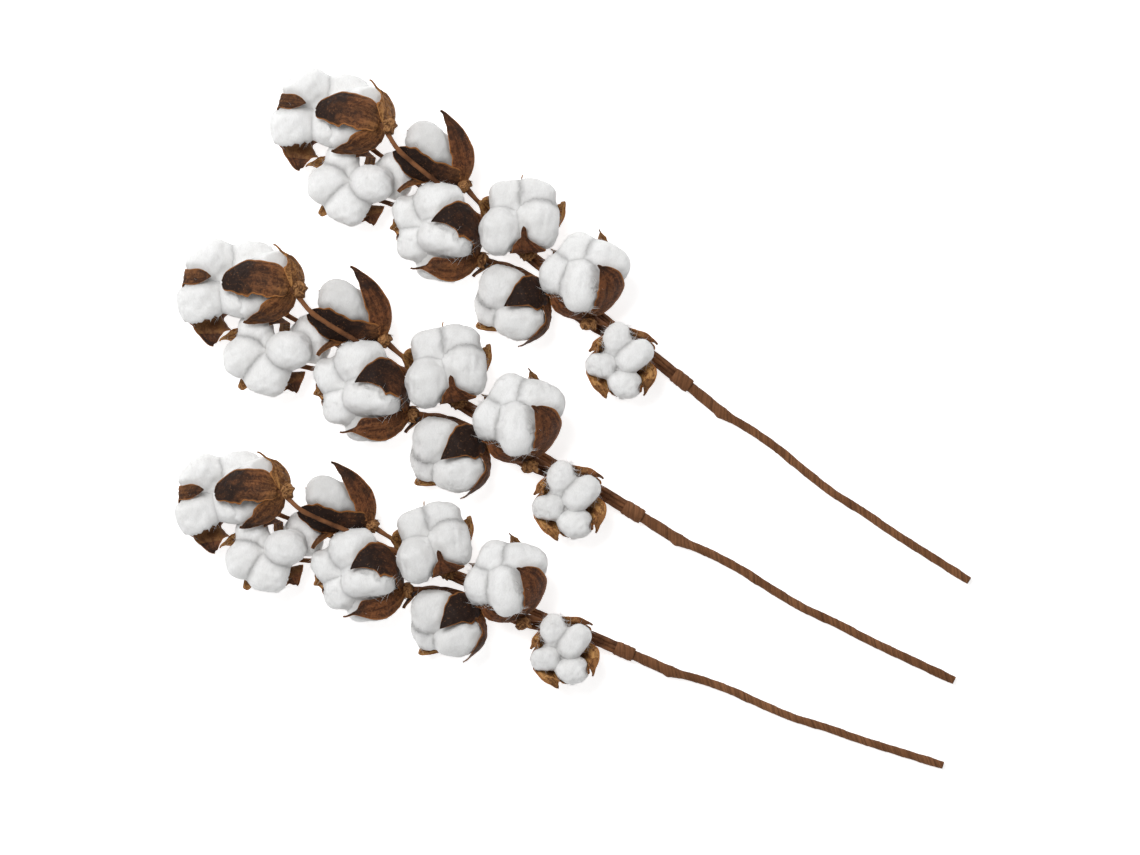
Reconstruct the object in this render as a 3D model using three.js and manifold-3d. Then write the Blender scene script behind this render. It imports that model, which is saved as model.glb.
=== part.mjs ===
// A bunch of three dried cotton stems, lying on a flat surface. Millimetres, +Z up.
//
// Every stem carries nine open bolls. A boll is a woody bur, whose carpels open like petals round
// a calyx, and a tuft of cotton with three to five locks. The bur's stalk runs down beside the
// others, and paper tape winds them all into one thin stem.
//
// One stem is described as it lies, from its cut end at the origin to its tip at the upper left.
// The bunch is that stem three times, turned and sized a little differently.

import * as THREE from 'three';
import { mergeVertices } from 'three/addons/utils/BufferGeometryUtils.js';
import Module from 'manifold-3d';

const wasm = await Module();
wasm.setup();

// ---- driving dimensions -------------------------------------------------------------------

const GAP = 0.35; // between pieces that touch
const CORE_RADIUS = 9; // cotton in the middle of a boll, where no lock reaches
const FOOT_RADIUS = 14; // of the cone in which the cotton narrows to its calyx

const CALYX_RADIUS = 5.2;
const CALYX_HEIGHT = 3.8; // half of its height
const CARPEL_THICK = 1.1;
const CARPEL_GAP = 1.6; // between a carpel and the cotton that it holds
const CARPEL_END = 0.6; // half of a carpel's width at its two ends
const CARPEL_SKEW = 0.85; // below 1, a carpel is widest nearer its calyx
const CARPEL_FULLNESS = 0.8; // below 1, its sides are fuller than a sine's

const STALK_RADIUS = 1.0; // in the bundle
const STALK_NECK_RADIUS = 1.5; // under the calyx
const STALK_NECK_LENGTH = 16;
const STALK_STARTS = [0.3, 12]; // its first two points, from the stem's top
const BUNDLE_RING = 2.95; // from the bundle's centre to the stalks round it

const COLLAR_HALF_LENGTH = 6.5;
const COLLAR_MIDDLE = 4; // from the stem's top, up the stalks
const COLLAR_RADIUS = 4.8;
const COLLAR_BORE = 4.4;
const STEM_TOP_RADIUS = 3.5;
const STEM_RADIUS = 2.7;
const STEM_STRAIGHT = 9; // from the stem's top, before it follows its path
const STEM_TAPER_START = 27; // from the stem's top
const STEM_TAPER_END = 38;

// How many faces each round thing has: round it, then along it.
const COTTON_FACES = [12, 7];
const CALYX_FACES = [6, 3];
const STEM_FACES = [8, 18];
const COLLAR_FACES = [12, 1];
const STALK_SIDES = 5;
const STALK_STEP = 25; // along a stalk, in at least STALK_STEPS_LEAST steps
const STALK_STEPS_LEAST = 5;
const CARPEL_STEPS = 3; // along a carpel, and one more on one that is wide
const WIDE_CARPEL = 11;
const MERGE_DISTANCE = 1e-4;

// The stem from its top, inside the collar, to the cut end.
const STEM_TOP = new THREE.Vector3(-179, 124.5, 6);
const STEM_PATH = [
  [-154.4, 105, 5], [-141.2, 97.4, 3.6], [-122.9, 84.9, 2.8], [-104.6, 69.9, 2.7],
  [-85.7, 55.3, 2.7], [-67.5, 43.9, 2.7], [-49.2, 31.3, 2.7], [-21.5, 13.7, 2.7], [0, 0, 2.7],
];

// The middle of the bundle of stalks, from the stem's top towards the tip.
const BUNDLE_PATH = [
  [-198.7, 140.1, 7.5], [-221.2, 156.7, 9], [-233.8, 166.8, 10], [-252.7, 181.9, 10.5],
  [-270.3, 195.7, 11], [-288.6, 210.2, 11.5], [-306.9, 227.2, 12],
];

// heart: the middle of the boll. calyx, locks and carpels are measured from it.
// lock: x, y, z, radius. carpel: its tip, its belly half way there, half of its greatest width,
// and face, which is 1 where it faces straight up and otherwise 0: away from the heart.
// slot: the stalk's place round the bundle in degrees, or null in its middle.
// joins: how many points of the bundle's path the stalk follows. stalk: its way from there.
const BOLLS = [
  {
    heart: [-414.5, 295.5, 22], calyx: [13, -8, -18],
    locks: [[-13.5, -10, 6, 13.5], [-5.5, 16, 0, 13.5], [22, 16, -2, 12.5], [10.5, -9.5, 8, 11.5]],
    carpels: [
      { tip: [-8, 5.5, 17], belly: [-26.5, 0.5, 0], half: 9 },
      { tip: [-9.5, -34.5, -4], belly: [-0.5, -20, -8], half: 13 },
      { tip: [16, 21, -8], belly: [16, 8, -16], half: 9 },
    ],
    slot: -45, joins: 7, stalk: [[-330, 237, 10], [-353.5, 254.5, 9], [-382, 276, 7]],
  },
  {
    heart: [-387.5, 291, 38], calyx: [18, -4, 13.5],
    locks: [[-10, 5, -5, 11], [-6.5, -9, -6, 11], [5.5, 9.5, -6, 11], [4, -5, -12, 11]],
    carpels: [
      { tip: [-24, 5, 1], belly: [-5, 6.5, 13], half: 11.5 },
      { tip: [8, 22.5, 5], belly: [20, 9, 10], half: 9, face: 0.3 },
      { tip: [-13.5, -18, -2], belly: [4, -15.5, 7], half: 9.5, face: 0.4 },
      { tip: [-17, -4, -18], belly: [-4, -3, -20], half: 9 },
    ],
    slot: 90, joins: 7, stalk: [[-322, 240, 26], [-339, 253.4, 39], [-353.5, 265, 45.5], [-361, 272, 49]],
  },
  {
    heart: [-392, 249.5, 22], calyx: [5.5, -4.5, -18],
    locks: [
      [-4, 14, -2, 11], [-13, 0.5, 2, 12.5], [14.5, 1.5, 8.5, 12], [-0.5, -12.5, 5.5, 12.5],
      [29.5, 8, -4, 11],
    ],
    carpels: [
      { tip: [4, 14.5, 13], belly: [9, 18.5, 2], half: 5.5 },
      { tip: [13.5, -22.5, 0], belly: [12.5, -13, -3], half: 8, face: 0.6 },
      { tip: [-17, -17, -1], belly: [-9, -10.5, -10], half: 4 },
      { tip: [-25, 11, 1], belly: [-14, 13, -9], half: 5 },
    ],
    slot: -90, joins: 7, stalk: [[-335, 227, 12], [-363.6, 237.5, 11]],
  },
  {
    heart: [-337, 272, 28], calyx: [16.5, -21.5, -2],
    locks: [[-5.5, 4.5, 4, 13], [-2, 0, -11, 10.5], [-7.5, -5, -8, 10.5]],
    carpels: [
      { tip: [2.5, 23.5, 4], belly: [16.5, 1.5, 6], half: 8.5, face: 0.6 },
      { tip: [-23.5, 0, 4], belly: [-9, -12, 9], half: 10.5, face: 0.5 },
      { tip: [-17.5, 12.5, -16], belly: [-2.5, -6.5, -18], half: 11 },
    ],
    slot: 0, joins: 5, stalk: [[-288, 213.5, 13.5], [-304, 232, 19]],
  },
  {
    heart: [-334, 221.5, 29], calyx: [24, -17.5, -11],
    locks: [
      [-0.5, 17.5, 4, 13.5], [-21.5, 10.5, -2, 9.5], [-17.5, -8, -2, 9.5], [4.5, -5, 8, 14],
      [-2, -25, -4, 10],
    ],
    carpels: [
      { tip: [-5, 3.5, 20], belly: [15.5, 5, 12], half: 10.5, face: 0.2 },
      { tip: [-18, -23.5, 3], belly: [5, -24.5, 6], half: 9.5, face: 0.9 },
      { tip: [-23.5, 22.5, 0], belly: [-2, 27.5, -4], half: 5.5 },
      { tip: [-28.5, -1.5, -3], belly: [-10, -5.5, -14], half: 4 },
    ],
    slot: null, joins: 1,
    stalk: [
      [-231.9, 159.2, 7.5], [-249.5, 171.8, 6], [-264, 182.5, 5], [-274.7, 191.3, 6],
      [-284.8, 197, 9], [-296.8, 200.2, 13.5],
    ],
  },
  {
    heart: [-284, 230.5, 32], calyx: [4.5, -22.5, -12],
    locks: [[-8, 12, -3, 10.5], [10.5, 13, -3, 11], [-12.5, -12, 5, 13.5], [11.5, -7, 5, 13]],
    carpels: [
      { tip: [1.5, 22.5, -3], belly: [0.5, 12.5, -16], half: 8 },
      { tip: [-21.5, 8, 3], belly: [-18, -2, -11], half: 7 },
      { tip: [23.5, 5.5, 3], belly: [19, -6.5, -12], half: 6 },
      { tip: [2, -6.5, 19], belly: [3, -18, 9], half: 9, face: 0.4 },
    ],
    slot: 45, joins: 4, stalk: [[-267, 200, 15.5]],
  },
  {
    heart: [-288, 175.5, 19], calyx: [21, 4, -7],
    locks: [[-9, 10.5, 2, 13.5], [-15, -2.5, 0, 11], [5, -12, 4, 12.5]],
    carpels: [
      { tip: [-5.5, -2, 16], belly: [12.5, 7, 12], half: 11, face: 0.4 },
      { tip: [-23.5, 16, 0], belly: [-1.5, 24.5, -2], half: 6 },
      { tip: [-4.5, -22, 0], belly: [15, -15.5, -1], half: 7, face: 0.3 },
      { tip: [-20, -14, -2], belly: [-6.5, -9.5, -15], half: 5 },
    ],
    slot: 180, joins: 1, stalk: [[-232.5, 156.1, 8.5], [-252.7, 168.7, 9.5]],
  },
  {
    heart: [-244.5, 193, 34], calyx: [5.5, -26.5, -12.5],
    locks: [[-3, 16, -2, 12.5], [15, 7.5, 2, 13], [-16.5, 0.5, 0, 11], [-0.5, -8, 7, 14]],
    carpels: [
      { tip: [9, 25.5, 1], belly: [12.5, 13, -12], half: 6 },
      { tip: [-18, 14.5, -1], belly: [-12, 5.5, -13], half: 5 },
      { tip: [-18, -8.5, 0], belly: [-12, -22, -2], half: 8.5, face: 0.6 },
      { tip: [8, 5, 19], belly: [18, -9, 12], half: 10, face: 0.5 },
    ],
    slot: 135, joins: 1, stalk: [[-222.5, 155.1, 12.6], [-230, 161, 16.5]],
  },
  {
    heart: [-223.5, 139, 23], calyx: [4, -3, -19.5],
    locks: [[3, 14.5, 1, 9.5], [13, 3, 4, 10.5], [-11.5, -2.5, 1, 9], [5.5, -16.5, 2, 10.5]],
    carpels: [
      { tip: [-10.5, 12, 2], belly: [-6.5, 6.5, -8], half: 8 },
      { tip: [23.5, 10, 0], belly: [12.5, 11.5, -6], half: 8 },
      { tip: [18.5, -19.5, 0], belly: [19, -9, -6], half: 8 },
      { tip: [-7.5, -21.5, -1], belly: [-7.5, -10.5, -7], half: 8 },
    ],
    slot: -135, joins: 1, stalk: [[-210, 141, 5]],
  },
];

// Each stem of the bunch: where its cut end lies, its turn and its size.
const STEMS = [
  { name: 'far', cutEnd: [252.7, -97.1], turn: 0, size: 1 },
  { name: 'middle', cutEnd: [243.2, -160.2], turn: 7.15, size: 1.035 },
  { name: 'near', cutEnd: [236.2, -213.9], turn: 15.16, size: 0.966 },
];

// ---- materials ------------------------------------------------------------------------------

const COTTON = new THREE.MeshStandardMaterial({ color: 0xf1f0ee, roughness: 1, metalness: 0 });
const BUR = new THREE.MeshStandardMaterial({ color: 0x4a3226, roughness: 0.85, metalness: 0 });
const TAPE = new THREE.MeshStandardMaterial({ color: 0x54392a, roughness: 0.9, metalness: 0 });

// ---- solids ---------------------------------------------------------------------------------

// Only the positions of a geometry, with shared vertices merged.
function bare(geometry) {
  const copy = geometry.index ? geometry.clone() : geometry;
  copy.deleteAttribute('normal');
  copy.deleteAttribute('uv');
  return mergeVertices(copy, MERGE_DISTANCE);
}

function solid(geometry) {
  const shape = bare(geometry);
  return new wasm.Manifold(new wasm.Mesh({
    numProp: 3,
    vertProperties: new Float32Array(shape.attributes.position.array),
    triVerts: new Uint32Array(shape.index.array),
  }));
}

// The largest of the bodies that a cut leaves.
function largest(body) {
  const parts = body.decompose();
  return parts.reduce((a, b) => (b.volume() > a.volume() ? b : a));
}

function meshOf(name, body, material) {
  const { vertProperties, triVerts } = body.getMesh();
  const geometry = new THREE.BufferGeometry();
  geometry.setAttribute('position', new THREE.BufferAttribute(vertProperties, 3));
  geometry.setIndex(new THREE.BufferAttribute(triVerts, 1));
  geometry.computeVertexNormals();
  const mesh = new THREE.Mesh(geometry, material);
  mesh.name = name;
  return mesh;
}

// Moves each vertex of a geometry to place(vertex), and nothing below the surface.
function reshape(geometry, place) {
  const position = geometry.attributes.position;
  const vertex = new THREE.Vector3();
  for (let i = 0; i < position.count; i += 1) {
    vertex.fromBufferAttribute(position, i);
    const moved = place(vertex);
    position.setXYZ(i, moved.x, moved.y, Math.max(moved.z, 0));
  }
  return geometry;
}

// A round bar along a curve. Its cylinder's height is the way along, and radiusAt its radius.
function bar(curve, faces, radiusAt) {
  const up = new THREE.Vector3(0, 0, 1);
  return reshape(new THREE.CylinderGeometry(1, 1, 1, ...faces), (v) => {
    const along = THREE.MathUtils.clamp(v.y + 0.5, 0, 1);
    const tangent = curve.getTangentAt(along);
    const side = tangent.clone().cross(up).normalize();
    const top = side.clone().cross(tangent);
    const radius = radiusAt(along);
    return curve.getPointAt(along).addScaledVector(side, v.x * radius).addScaledVector(top, v.z * radius);
  });
}

// ---- a boll's cotton ------------------------------------------------------------------------

// How far the cotton's foot reaches: a cone from the middle of the boll down to the calyx.
function footReach(boll, direction) {
  const down = new THREE.Vector3(...boll.calyx);
  const depth = down.length() - CALYX_HEIGHT - GAP;
  const lean = down.angleTo(direction);
  if (lean > Math.PI / 2) return 0;
  return depth * FOOT_RADIUS / (FOOT_RADIUS * Math.cos(lean) + depth * Math.sin(lean));
}

// How far the cotton reaches from the heart in a direction: the outermost crossing with a lock.
function cottonReach(boll, direction) {
  let reach = Math.max(CORE_RADIUS, footReach(boll, direction));
  for (const [x, y, z, radius] of boll.locks) {
    const centre = new THREE.Vector3(x, y, z);
    const along = centre.dot(direction);
    const inside = radius * radius - (centre.lengthSq() - along * along);
    if (inside > 0 && along > 0) reach = Math.max(reach, along + Math.sqrt(inside));
  }
  return reach;
}

// A sphere whose pole is at the calyx, pushed out to the locks.
function cotton(boll) {
  const heart = new THREE.Vector3(...boll.heart);
  const stand = new THREE.Quaternion().setFromUnitVectors(
    new THREE.Vector3(0, -1, 0), new THREE.Vector3(...boll.calyx).normalize());
  return solid(reshape(new THREE.SphereGeometry(1, ...COTTON_FACES), (v) => {
    const direction = v.clone().normalize().applyQuaternion(stand);
    return heart.clone().addScaledVector(direction, cottonReach(boll, direction));
  }));
}

// ---- a boll's bur and stalk -----------------------------------------------------------------

// Half of a carpel's width along its length: narrow at the calyx, full in the middle, pointed.
function carpelHalfWidth(along, greatest) {
  return CARPEL_END + greatest * Math.sin(Math.PI * along ** CARPEL_SKEW) ** CARPEL_FULLNESS;
}

// A thin slab whose two broad faces, towards and away from the heart, are split along the same
// diagonals, so that they stay clear of each other when the slab is bent.
function slab(steps) {
  const box = new THREE.BoxGeometry(2, 1, 1, 2, steps, 1);
  const { start, count } = box.groups[5];
  for (let k = start; k < start + count; k += 6) {
    const [a, b, d, , c] = box.index.array.slice(k, k + 6);
    box.index.array.set([a, b, c, a, c, d], k);
  }
  return box;
}

// A carpel: an arc from the calyx over its belly to its tip, bent round the cotton and clear of it.
function carpel(boll, { tip, belly, half, face = 0 }, grow) {
  const heart = new THREE.Vector3(...boll.heart);
  const [root, middle, end] = [boll.calyx, belly, tip].map((p) => new THREE.Vector3(...p));
  const pull = middle.clone().multiplyScalar(2).addScaledVector(root, -0.5).addScaledVector(end, -0.5);
  const arc = new THREE.QuadraticBezierCurve3(root, pull, end);
  const steps = half < WIDE_CARPEL ? CARPEL_STEPS : CARPEL_STEPS + 1;
  return solid(reshape(slab(steps), (v) => {
    const along = v.y + 0.5;
    const spine = arc.getPoint(along);
    const facing = spine.clone().normalize().multiplyScalar(1 - face).add(new THREE.Vector3(0, 0, face));
    const side = arc.getTangent(along).cross(facing).normalize();
    const width = carpelHalfWidth(along, half) + grow;
    const flat = spine.clone().addScaledVector(side, width * v.x);
    const direction = flat.clone().normalize();
    const clear = along > 0 ? cottonReach(boll, direction) + CARPEL_GAP : 0;
    const radius = Math.max(flat.length(), clear) + (v.z > 0 ? CARPEL_THICK + grow : -grow);
    return heart.clone().addScaledVector(direction, radius);
  }));
}

function calyxCentre(boll) {
  return new THREE.Vector3(...boll.heart).add(new THREE.Vector3(...boll.calyx));
}

function calyx(boll, grow) {
  const down = new THREE.Vector3(...boll.calyx).normalize();
  const stand = new THREE.Quaternion().setFromUnitVectors(new THREE.Vector3(0, -1, 0), down);
  const centre = calyxCentre(boll);
  const size = new THREE.Vector3(CALYX_RADIUS + grow, CALYX_HEIGHT + grow, CALYX_RADIUS + grow);
  return solid(reshape(new THREE.SphereGeometry(1, ...CALYX_FACES), (v) => (
    v.clone().multiply(size).applyQuaternion(stand).add(centre))));
}

// The way that the stem and the stalks run through the collar.
function collarHeading() {
  return new THREE.Vector3(...BUNDLE_PATH[0]).sub(STEM_TOP).normalize();
}

// The point that lies so far from the stem's top, up the stalks, or down the stem if it is negative.
function fromStemTop(distance) {
  return STEM_TOP.clone().addScaledVector(collarHeading(), distance);
}

// The stalk's way: inside the collar, along the bundle in its slot, then to its calyx.
function stalkCurve(boll) {
  const bundle = BUNDLE_PATH.map((p) => new THREE.Vector3(...p));
  const heading = collarHeading();
  const across = new THREE.Vector3(-heading.y, heading.x, 0).normalize().negate();
  const turn = THREE.MathUtils.degToRad(boll.slot ?? 0);
  const ring = boll.slot === null ? 0 : BUNDLE_RING;
  const place = (p) => p.clone().addScaledVector(across, ring * Math.cos(turn))
    .add(new THREE.Vector3(0, 0, ring * Math.sin(turn)));
  const straight = STALK_STARTS.map((s) => place(fromStemTop(s)));
  const along = bundle.slice(0, boll.joins).map(place);
  const free = boll.stalk.map((p) => new THREE.Vector3(...p));
  return new THREE.CatmullRomCurve3([...straight, ...along, ...free, calyxCentre(boll)]);
}

function stalk(boll, grow) {
  const curve = stalkCurve(boll);
  const length = curve.getLength();
  const steps = Math.max(STALK_STEPS_LEAST, Math.round(length / STALK_STEP));
  return solid(bar(curve, [STALK_SIDES, steps], (along) => {
    const neck = THREE.MathUtils.smoothstep(along, 1 - STALK_NECK_LENGTH / length, 1);
    return THREE.MathUtils.lerp(STALK_RADIUS, STALK_NECK_RADIUS, neck) + grow;
  }));
}

function bur(boll, grow) {
  return boll.carpels.reduce((body, c) => body.add(carpel(boll, c, grow)), calyx(boll, grow));
}

// ---- the taped stem and its collar ----------------------------------------------------------

function stemRadius(fromTop) {
  const taper = THREE.MathUtils.smoothstep(fromTop, STEM_TAPER_START, STEM_TAPER_END);
  return THREE.MathUtils.lerp(STEM_TOP_RADIUS, STEM_RADIUS, taper);
}

function stem() {
  const straight = [0, STEM_STRAIGHT].map((s) => fromStemTop(-s));
  const curve = new THREE.CatmullRomCurve3([...straight, ...STEM_PATH.map((p) => new THREE.Vector3(...p))]);
  const length = curve.getLength();
  return solid(bar(curve, STEM_FACES, (along) => stemRadius(along * length)));
}

// A round of tape, wound where the stalks go into the stem.
function collar() {
  const wall = (radius, halfLength) => {
    const [a, b] = [halfLength, -halfLength].map((s) => fromStemTop(COLLAR_MIDDLE + s));
    return solid(bar(new THREE.LineCurve3(a, b), COLLAR_FACES, () => radius));
  };
  return wall(COLLAR_RADIUS, COLLAR_HALF_LENGTH).subtract(wall(COLLAR_BORE, 2 * COLLAR_HALF_LENGTH));
}

// ---- one stem with its bolls ----------------------------------------------------------------

// The stalks stand whole. Burs give way to other stalks and to the burs before them, and cotton,
// which is soft, gives way to every bur and to the cotton before it.
function stemPieces() {
  const stalks = BOLLS.map((boll) => stalk(boll, 0));
  const fatStalks = BOLLS.map((boll) => stalk(boll, GAP));
  const fatBurs = BOLLS.map((boll) => bur(boll, GAP));
  const burs = BOLLS.map((boll, i) => {
    const others = [...fatStalks.filter((_, j) => j !== i), ...fatBurs.slice(0, i)];
    const cut = others.reduce((body, other) => body.subtract(other), bur(boll, 0));
    return largest(largest(cut).add(stalks[i]));
  });
  const cottons = [];
  BOLLS.forEach((boll) => {
    const others = [...fatStalks, ...fatBurs, ...burs, ...cottons];
    cottons.push(largest(others.reduce((body, other) => body.subtract(other), cotton(boll))));
  });
  return { burs, cottons, stem: stem(), collar: collar() };
}

function stemGroup(pieces, { name, cutEnd, turn, size }) {
  const group = new THREE.Group();
  pieces.cottons.forEach((body, i) => group.add(meshOf(`${name}_cotton_${i + 1}`, body, COTTON)));
  pieces.burs.forEach((body, i) => group.add(meshOf(`${name}_bur_and_stalk_${i + 1}`, body, BUR)));
  group.add(meshOf(`${name}_stem`, pieces.stem, TAPE));
  group.add(meshOf(`${name}_tape_collar`, pieces.collar, TAPE));
  group.position.set(cutEnd[0], cutEnd[1], 0);
  group.rotation.z = THREE.MathUtils.degToRad(turn);
  group.scale.setScalar(size);
  return group;
}

// ---- the bunch, centred over the origin -----------------------------------------------------

const bunch = new THREE.Group();
const pieces = stemPieces();
STEMS.forEach((place) => bunch.add(stemGroup(pieces, place)));

const middle = new THREE.Box3().setFromObject(bunch, true).getCenter(new THREE.Vector3());
bunch.position.set(-middle.x, -middle.y, 0);

export default bunch;
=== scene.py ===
import bpy
import numpy as np
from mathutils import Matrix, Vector


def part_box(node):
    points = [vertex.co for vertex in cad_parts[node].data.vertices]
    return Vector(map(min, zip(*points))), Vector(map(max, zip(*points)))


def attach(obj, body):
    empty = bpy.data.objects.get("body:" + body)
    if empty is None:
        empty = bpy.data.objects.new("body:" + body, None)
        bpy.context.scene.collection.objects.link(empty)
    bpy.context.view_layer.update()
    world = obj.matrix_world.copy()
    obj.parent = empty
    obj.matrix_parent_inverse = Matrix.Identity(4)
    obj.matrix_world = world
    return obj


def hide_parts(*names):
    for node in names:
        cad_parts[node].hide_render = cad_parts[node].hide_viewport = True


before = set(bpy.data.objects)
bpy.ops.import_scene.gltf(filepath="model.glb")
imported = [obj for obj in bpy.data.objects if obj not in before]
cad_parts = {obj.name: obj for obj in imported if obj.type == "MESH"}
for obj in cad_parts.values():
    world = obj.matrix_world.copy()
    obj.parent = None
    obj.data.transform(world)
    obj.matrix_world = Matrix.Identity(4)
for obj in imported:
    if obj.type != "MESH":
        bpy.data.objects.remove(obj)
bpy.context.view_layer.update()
MM = 0.001

# ---- the view -----------------------------------------------------------------------------
# The bunch lies on a table and is looked at from straight above, through a long lens.
# The far stem's collar of tape is the mark that the view's middle is measured from.

LENS = 250.0  # millimetres, on a sensor 36 mm wide
SENSOR = 36.0
CAMERA_REACH = 50.0  # metres
VIEW_WIDTH = 718.2 * MM  # how wide the view is at the bolls' middle height
VIEW_HEIGHT_ABOVE_TABLE = 26 * MM
VIEW_FROM_COLLAR = Vector((-70.57, -29.88, 0)) * MM

low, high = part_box("far_tape_collar")
view_middle = (low + high) / 2 + VIEW_FROM_COLLAR
camera = bpy.data.objects.new("camera", bpy.data.cameras.new("camera"))
camera.data.lens = LENS
camera.data.sensor_width = SENSOR
camera.data.clip_end = CAMERA_REACH
camera.location = (view_middle.x, view_middle.y, VIEW_HEIGHT_ABOVE_TABLE + VIEW_WIDTH * LENS / SENSOR)
bpy.context.scene.collection.objects.link(camera)
bpy.context.scene.camera = camera

# ---- the table and the light ----------------------------------------------------------------
# A plain white table that glows faintly, a broad soft lamp overhead and an even white surround.

TABLE_HALF = 6.0
TABLE_TOP = -0.1 * MM
TABLE_GLOW = 0.70
SURROUND_STRENGTH = 0.33
LAMP_PLACE = (-0.7, 0.8, 2.0)
LAMP_SIDE = 1.0
LAMP_WATTS = 37

table_mesh = bpy.data.meshes.new("table")
corners = [(-TABLE_HALF, -TABLE_HALF), (TABLE_HALF, -TABLE_HALF),
           (TABLE_HALF, TABLE_HALF), (-TABLE_HALF, TABLE_HALF)]
table_mesh.from_pydata([(x, y, TABLE_TOP) for x, y in corners], [], [(0, 1, 2, 3)])
table = bpy.data.objects.new("table", table_mesh)
bpy.context.scene.collection.objects.link(table)
table_paint = bpy.data.materials.new("table_paint")
table_paint.use_nodes = True
paint = table_paint.node_tree.nodes["Principled BSDF"]
paint.inputs["Base Color"].default_value = (0.80, 0.80, 0.80, 1)
paint.inputs["Roughness"].default_value = 0.9
paint.inputs["Specular IOR Level"].default_value = 0.1
paint.inputs["Emission Color"].default_value = (1, 1, 1, 1)
paint.inputs["Emission Strength"].default_value = TABLE_GLOW
table_mesh.materials.append(table_paint)

surround = bpy.data.worlds.new("surround")
surround.use_nodes = True
sky = surround.node_tree.nodes["Background"]
sky.inputs["Color"].default_value = (1, 1, 1, 1)
sky.inputs["Strength"].default_value = SURROUND_STRENGTH
bpy.context.scene.world = surround
bpy.context.scene.view_settings.view_transform = "Standard"

light = bpy.data.lights.new("overhead_lamp", "AREA")
light.size = LAMP_SIDE
light.energy = LAMP_WATTS
lamp = bpy.data.objects.new("overhead_lamp", light)
lamp.location = LAMP_PLACE
lamp.rotation_euler = (-Vector(LAMP_PLACE)).to_track_quat("-Z", "Y").to_euler()
lamp.visible_camera = False
bpy.context.scene.collection.objects.link(lamp)

# ---- the taped stems ------------------------------------------------------------------------
# The lower ends of the stalks run together in one thin stem, wound with brown crepe paper tape.
# The tape climbs the stem on a slant, and each turn overlaps the one before it by an edge.

# Each stem of the bunch is like the far one, turned by some degrees and a little larger or smaller.
SPRAYS = {"far": (0.0, 1.0), "middle": (7.15, 1.035), "near": (15.16, 0.966)}

# Millimetres from the far stem's cut end, along the table and above it.
STEM_TOP = np.array([-179.0, 124.5, 6.0])
BUNDLE = np.array([
    [-198.7, 140.1, 7.5], [-221.2, 156.7, 9], [-233.8, 166.8, 10], [-252.7, 181.9, 10.5],
    [-270.3, 195.7, 11], [-288.6, 210.2, 11.5], [-306.9, 227.2, 12]])
STEM = np.array([
    [-154.4, 105, 5], [-141.2, 97.4, 3.6], [-122.9, 84.9, 2.8], [-104.6, 69.9, 2.7],
    [-85.7, 55.3, 2.7], [-67.5, 43.9, 2.7], [-49.2, 31.3, 2.7], [-21.5, 13.7, 2.7], [0, 0, 2.7]])
HEADING = (BUNDLE[0] - STEM_TOP) / np.linalg.norm(BUNDLE[0] - STEM_TOP)

STEM_TOP_RADIUS = 3.5
STEM_RADIUS = 2.65
STEM_STRAIGHT = 9.0  # from the stem's top, before it follows its path
STEM_TAPER = (27.0, 38.0)  # from the stem's top
STEM_ROWS, STEM_COLS = 330, 26
TAPE_TURN = 12.0  # how far the tape climbs in one turn
TAPE_EDGE = 0.18  # how far an edge stands proud
TAPE_CRINKLES = 3.2  # in one turn
TAPE_KNOT = (28.0, 2.2, 0.8)  # the start of a second length of tape: its place, breadth and height
COLLAR_MIDDLE = 4.0  # from the stem's top, up the stalks
TABLE_CLEARANCE = 0.02 * MM


def unit(vectors):
    """Each vector over its own length."""
    return vectors / np.maximum(np.linalg.norm(vectors, axis=-1, keepdims=True), 1e-9)


def smoothstep(value, start, end):
    """0 before start, 1 after end, and 3t^2 - 2t^3 between them."""
    t = np.clip((value - start) / (end - start), 0, 1)
    return t * t * (3 - 2 * t)


def ripple(points, wavelength, seed, waves=10):
    """Smooth noise of about unit size: a sum of sine waves that run in random directions."""
    rng = np.random.default_rng(seed)
    runs = unit(rng.normal(size=(waves, 3))) * rng.uniform(0.75, 1.3, (waves, 1)) * 2 * np.pi / wavelength
    return np.sin(points @ runs.T + rng.uniform(0, 2 * np.pi, waves)).sum(-1) * np.sqrt(2 / waves)


def smooth_path(points, rows):
    """Evenly spaced points on the curve through the points, which is a Hermite cubic between each two."""
    points = np.asarray(points, float)
    knots = np.concatenate([[0], np.cumsum(np.linalg.norm(np.diff(points, axis=0), axis=1) ** 0.75)])
    slopes = np.gradient(points, knots, axis=0)
    fine = np.linspace(0, knots[-1], rows * 8)
    piece = np.clip(np.searchsorted(knots, fine, side="right") - 1, 0, len(knots) - 2)
    span = (knots[piece + 1] - knots[piece])[:, None]
    t = (fine - knots[piece])[:, None] / span
    curve = ((2 * t**3 - 3 * t**2 + 1) * points[piece] + (t**3 - 2 * t**2 + t) * span * slopes[piece]
             + (3 * t**2 - 2 * t**3) * points[piece + 1] + (t**3 - t**2) * span * slopes[piece + 1])
    way = np.concatenate([[0], np.cumsum(np.linalg.norm(np.diff(curve, axis=0), axis=1))])
    even = np.linspace(0, way[-1], rows)
    return np.stack([np.interp(even, way, curve[:, k]) for k in range(3)], -1), even


def round_bar(path, radius):
    """Rings round a path: side and top are square to its run, and radius is given by row and column."""
    run = unit(np.gradient(path, axis=0))
    side = unit(np.cross(run, [0, 0, 1.0]))
    top = np.cross(side, run)
    angle = np.linspace(0, 2 * np.pi, radius.shape[1], endpoint=False)
    return (path[:, None] + radius[..., None]
            * (side[:, None] * np.cos(angle)[:, None] + top[:, None] * np.sin(angle)[:, None]))


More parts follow.
